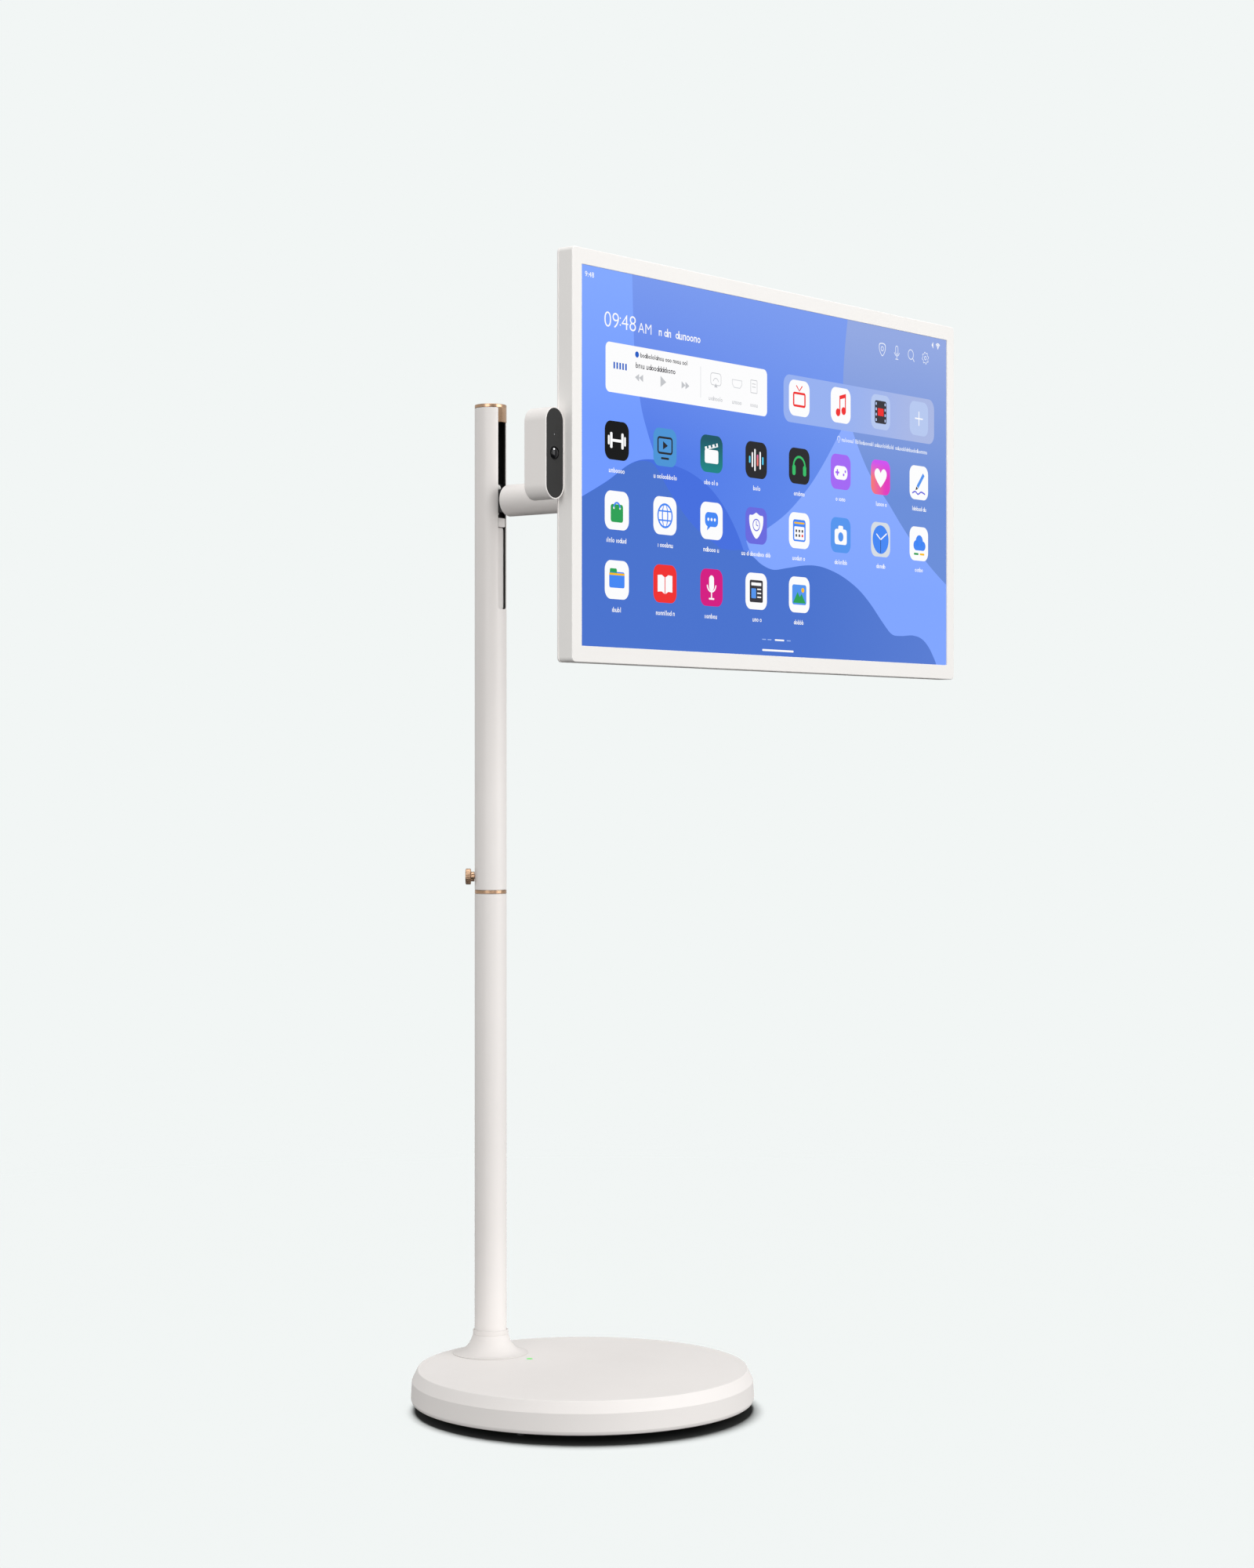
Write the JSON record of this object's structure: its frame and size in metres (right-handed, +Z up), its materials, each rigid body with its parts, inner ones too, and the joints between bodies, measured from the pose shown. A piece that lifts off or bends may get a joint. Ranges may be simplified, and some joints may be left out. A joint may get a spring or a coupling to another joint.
{
  "type": "smart display",
  "caption": "Flat touch display on a slim height-adjustable pole with a long arm, a heavy round rolling base and a clip-on pill-shaped camera.",
  "frame": {"origin": "on the floor, under the middle of the whole object's box", "axes": "+Z up the pole, -Y the way the screen faces, +X to the right of a person who looks at the screen"},
  "size_m": [0.771, 0.4926, 1.3051],
  "materials": {
    "white_plastic": "satin, fine moulded grain",
    "white_painted_tube": "satin powder coat",
    "bronze": "satin bronze",
    "steel": "plain",
    "cast_iron": "raw",
    "black_plastic": "matt",
    "grey_rubber": "matt",
    "nylon": "plain",
    "circuit_board": "solder mask",
    "display_glass": "glossy, lit picture behind it",
    "camera_face": "satin",
    "lens": "polished",
    "status_light": "lit"
  },
  "bodies": {
    "stand": {"base_cover": "white_plastic", "base_tray": "steel", "ballast_plate": "cast_iron", "battery_pack": "black_plastic", "charge_board": "circuit_board", "power_inlet": "black_plastic", "status_light": "status_light", "foot_flange": "steel", "foot_collar": "white_plastic", "lower_pole": "white_painted_tube", "pole_spigot": "steel", "joint_ring": "bronze", "upper_pole": "white_painted_tube", "pole_cap": "bronze", "slot_rail": "steel", "gas_spring_seat": "nylon", "gas_spring_cylinder": "black_plastic"},
    "clamp_knob": {"clamp_knob": "bronze"},
    "carriage": {"carriage": "steel", "glide_pad_left": "nylon", "glide_pad_right": "nylon", "gas_spring_rod": "steel", "slot_cover": "white_plastic", "arm_tube": "white_painted_tube", "arm_yoke": "white_plastic", "swivel_pin": "steel"},
    "swivel": {"swivel_knuckle": "steel", "tilt_pin": "steel"},
    "tilt": {"tilt_bracket": "steel", "hub_nut": "steel"},
    "display": {"front_bezel": "white_plastic", "screen_glass": "display_glass", "lcd_panel": "black_plastic", "panel_chassis": "steel", "main_board": "circuit_board", "power_board": "circuit_board", "speaker_left": "black_plastic", "speaker_right": "black_plastic", "back_cover": "white_plastic", "port_panel": "black_plastic", "rotation_plate": "steel", "camera_dock_plate": "steel"},
    "camera": {"camera_shell": "white_plastic", "camera_face": "camera_face", "camera_lens": "lens", "camera_board": "circuit_board", "camera_magnet": "steel"},
    "power_button": {"power_button": "white_plastic"},
    "volume_up_button": {"volume_up_button": "white_plastic"},
    "volume_down_button": {"volume_down_button": "white_plastic"},
    "caster_1": {"caster_fork_1": "black_plastic"},
    "caster_wheels_1": {"caster_wheels_1": "grey_rubber"},
    "caster_2": {"caster_fork_2": "black_plastic"},
    "caster_wheels_2": {"caster_wheels_2": "grey_rubber"},
    "caster_3": {"caster_fork_3": "black_plastic"},
    "caster_wheels_3": {"caster_wheels_3": "grey_rubber"},
    "caster_4": {"caster_fork_4": "black_plastic"},
    "caster_wheels_4": {"caster_wheels_4": "grey_rubber"},
    "caster_5": {"caster_fork_5": "black_plastic"},
    "caster_wheels_5": {"caster_wheels_5": "grey_rubber"}
  },
  "joints": [
    {"name": "height_slide", "type": "slide", "parent": "stand", "child": "carriage", "axis": [0, 0, 1], "range_m": [-0.095, 0.075]},
    {"name": "head_swivel", "type": "hinge", "parent": "carriage", "child": "swivel", "pos_m": [0.01515, -0.15805, 1.0886], "axis": [0, 0, 1], "range_deg": [-60, 60]},
    {"name": "head_tilt", "type": "hinge", "parent": "swivel", "child": "tilt", "pos_m": [0.01515, -0.18305, 1.0886], "axis": [1, 0, 0], "range_deg": [-20, 20]},
    {"name": "screen_rotation", "type": "hinge", "parent": "tilt", "child": "display", "pos_m": [0.01515, -0.21325, 1.0886], "axis": [0, 1, 0], "range_deg": [-90, 90]},
    {"name": "camera_pull", "type": "slide", "parent": "display", "child": "camera", "axis": [-1, 0, 0], "range_m": [0, 0.04]},
    {"name": "clamp_turn", "type": "hinge", "parent": "stand", "child": "clamp_knob", "pos_m": [0.01515, 0.18695, 0.6305], "axis": [-0.6211, 0.7837, 0], "continuous": true},
    {"name": "power_button_press", "type": "slide", "parent": "display", "child": "power_button", "axis": [-1, 0, 0], "range_m": [0, 0.0006], "stiffness_N_per_m": 500, "springref_m": -0.001},
    {"name": "volume_up_button_press", "type": "slide", "parent": "display", "child": "volume_up_button", "axis": [-1, 0, 0], "range_m": [0, 0.0006], "stiffness_N_per_m": 500, "springref_m": -0.001},
    {"name": "volume_down_button_press", "type": "slide", "parent": "display", "child": "volume_down_button", "axis": [-1, 0, 0], "range_m": [0, 0.0006], "stiffness_N_per_m": 500, "springref_m": -0.001},
    {"name": "caster_swivel_1", "type": "hinge", "parent": "stand", "child": "caster_1", "pos_m": [0.01515, -0.12625, 0.03], "axis": [0, 0, 1], "continuous": true},
    {"name": "caster_roll_1", "type": "hinge", "parent": "caster_1", "child": "caster_wheels_1", "pos_m": [0.02361, -0.12317, 0.014], "axis": [-0.342, 0.9397, 0], "continuous": true},
    {"name": "caster_swivel_2", "type": "hinge", "parent": "stand", "child": "caster_2", "pos_m": [0.17493, -0.01017, 0.03], "axis": [0, 0, 1], "continuous": true},
    {"name": "caster_roll_2", "type": "hinge", "parent": "caster_2", "child": "caster_wheels_2", "pos_m": [0.16647, -0.01324, 0.014], "axis": [0.342, -0.9397, 0], "continuous": true},
    {"name": "caster_swivel_3", "type": "hinge", "parent": "stand", "child": "caster_3", "pos_m": [0.1139, 0.17766, 0.03], "axis": [0, 0, 1], "continuous": true},
    {"name": "caster_roll_3", "type": "hinge", "parent": "caster_3", "child": "caster_wheels_3", "pos_m": [0.11082, 0.18612, 0.014], "axis": [-0.9397, -0.342, 0], "continuous": true},
    {"name": "caster_swivel_4", "type": "hinge", "parent": "stand", "child": "caster_4", "pos_m": [-0.0836, 0.17766, 0.03], "axis": [0, 0, 1], "continuous": true},
    {"name": "caster_roll_4", "type": "hinge", "parent": "caster_4", "child": "caster_wheels_4", "pos_m": [-0.08052, 0.16921, 0.014], "axis": [0.9397, 0.342, 0], "continuous": true},
    {"name": "caster_swivel_5", "type": "hinge", "parent": "stand", "child": "caster_5", "pos_m": [-0.14463, -0.01017, 0.03], "axis": [0, 0, 1], "continuous": true},
    {"name": "caster_roll_5", "type": "hinge", "parent": "caster_5", "child": "caster_wheels_5", "pos_m": [-0.14013, -0.00237, 0.014], "axis": [-0.866, 0.5, 0], "continuous": true}
  ]
}
